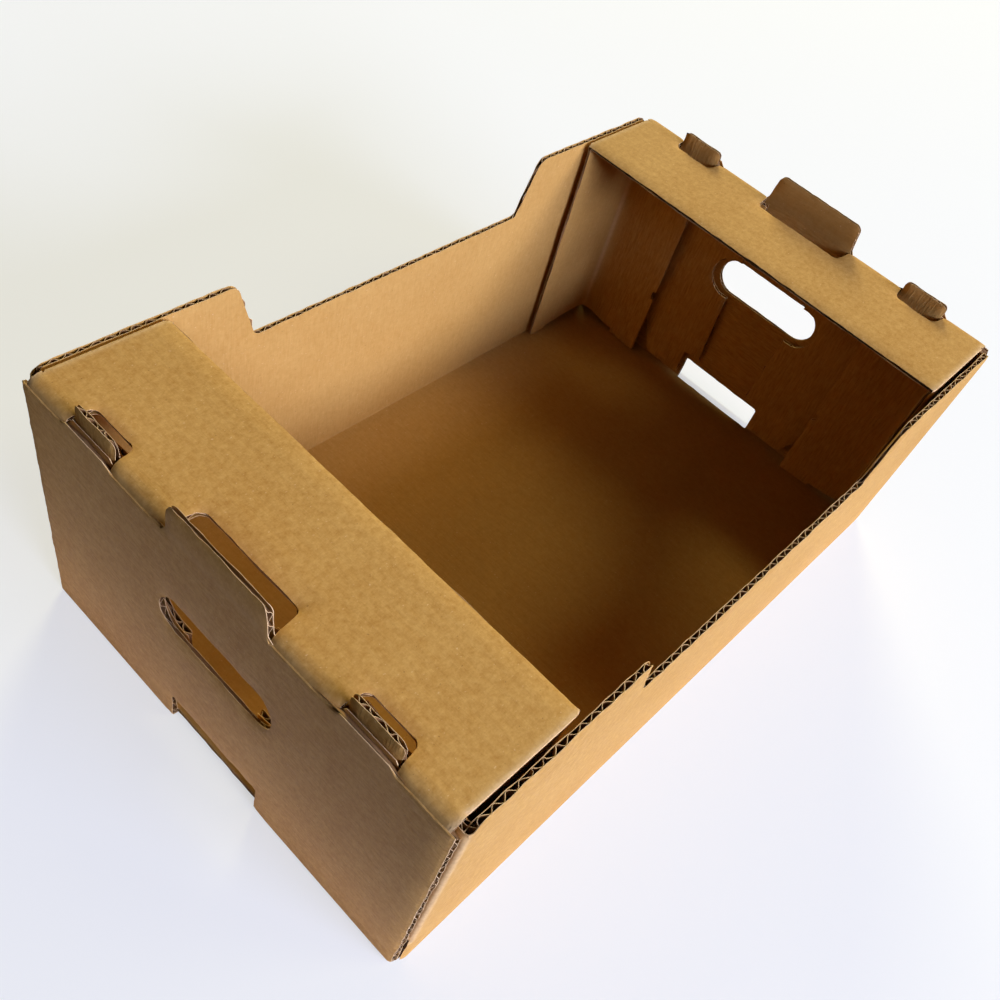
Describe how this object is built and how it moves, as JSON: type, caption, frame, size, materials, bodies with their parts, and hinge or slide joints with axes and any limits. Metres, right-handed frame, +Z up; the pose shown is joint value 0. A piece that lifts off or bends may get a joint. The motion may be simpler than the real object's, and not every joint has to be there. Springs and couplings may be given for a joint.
{
  "type": "cardboard tray box",
  "caption": "Open corrugated board tray with folded-over end ledges on locking tabs, hand holes in the ends, lowered sides, and stacking tabs with matching slots.",
  "frame": {"origin": "middle of the tray's underside", "axes": "+X along the tray towards the right end, +Y across it to the far side, +Z up"},
  "size_m": [0.5, 0.298, 0.1925],
  "materials": {
    "kraft_board": "matt unprinted kraft"
  },
  "bodies": {
    "tray": {"tray": "kraft_board"},
    "left_ledge": {"left_ledge": "kraft_board"},
    "right_ledge": {"right_ledge": "kraft_board"}
  },
  "joints": [
    {"name": "left_ledge_fold", "type": "hinge", "parent": "tray", "child": "left_ledge", "pos_m": [-0.24927, 0, 0.17427], "axis": [0, -1, 0], "range_deg": [0, 180]},
    {"name": "right_ledge_fold", "type": "hinge", "parent": "tray", "child": "right_ledge", "pos_m": [0.24927, 0, 0.17427], "axis": [0, 1, 0], "range_deg": [0, 180]}
  ]
}
